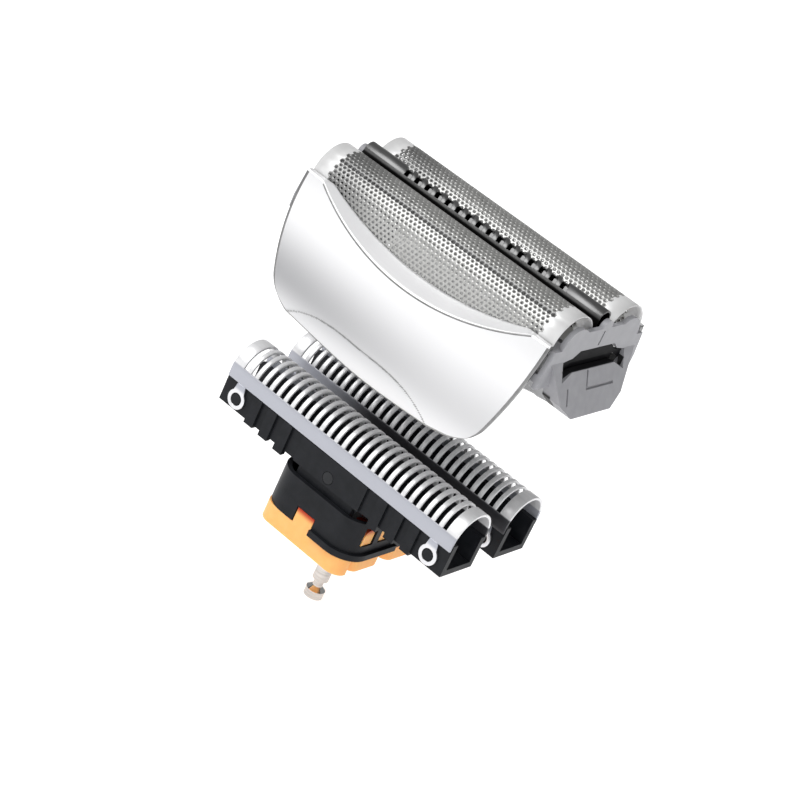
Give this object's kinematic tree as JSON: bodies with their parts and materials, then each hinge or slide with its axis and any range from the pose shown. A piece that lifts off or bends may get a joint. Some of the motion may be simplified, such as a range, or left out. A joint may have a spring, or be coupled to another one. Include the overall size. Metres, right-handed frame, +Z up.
{
  "type": "shaver foil head",
  "caption": "Shaver foil head with twin perforated foils and a trimmer in a chrome cassette, lifted off its sprung slotted cutters on a drive pin.",
  "frame": {"origin": "centre of the drive pin's free end", "axes": "+Z up along the drive pin towards the foils, +X along the head, -Y is the front"},
  "size_m": [0.0438, 0.0244, 0.0535],
  "materials": {
    "pin_steel": "turned and polished",
    "coupling_orange": "smooth satin moulding",
    "block_black": "satin moulding",
    "cutter_steel": "ground satin",
    "guide_pin_steel": "blackened",
    "spring_steel": "rolled strip",
    "holder_grey": "satin metallic grey",
    "cover_chrome": "bright satin plating",
    "foil_steel": "bright electroformed sheet",
    "bridge_black": "satin moulding",
    "trimmer_steel": "dark satin"
  },
  "bodies": {
    "base": {"drive_pin": "pin_steel", "drive_coupling": "coupling_orange", "base_collar": "block_black"},
    "front_cutter_unit": {"front_carrier": "block_black", "front_cutter": "cutter_steel", "front_guide_pin": "guide_pin_steel", "front_spring": "spring_steel"},
    "rear_cutter_unit": {"rear_carrier": "block_black", "rear_cutter": "cutter_steel", "rear_guide_pin": "guide_pin_steel", "rear_spring": "spring_steel"},
    "cassette": {"foil_holder": "holder_grey", "front_cover": "cover_chrome", "rear_cover": "cover_chrome", "front_foil": "foil_steel", "rear_foil": "foil_steel"},
    "trimmer": {"trimmer_bridge": "bridge_black", "trimmer_comb": "trimmer_steel", "left_trimmer_spring": "spring_steel", "right_trimmer_spring": "spring_steel"},
    "trimmer_cutter": {"trimmer_blade": "trimmer_steel"}
  },
  "joints": [
    {"name": "front_cutter_float", "type": "slide", "parent": "base", "child": "front_cutter_unit", "axis": [0, 0, 1], "range_m": [-0.001, 0], "stiffness_N_per_m": 900, "springref_m": 0.0008, "deforming": ["front_spring"]},
    {"name": "rear_cutter_float", "type": "slide", "parent": "base", "child": "rear_cutter_unit", "axis": [0, 0, 1], "range_m": [-0.001, 0], "stiffness_N_per_m": 900, "springref_m": 0.0008, "deforming": ["rear_spring"]},
    {"name": "cassette_lift", "type": "slide", "parent": "base", "child": "cassette", "axis": [0, 0, 1], "range_m": [-0.0268, 0]},
    {"name": "trimmer_float", "type": "slide", "parent": "cassette", "child": "trimmer", "axis": [0, 0, 1], "range_m": [-0.0006, 0], "stiffness_N_per_m": 600, "springref_m": 0.0006, "deforming": ["left_trimmer_spring", "right_trimmer_spring"]},
    {"name": "trimmer_stroke", "type": "slide", "parent": "trimmer", "child": "trimmer_cutter", "axis": [1, 0, 0], "range_m": [-0.001, 0.001]}
  ]
}
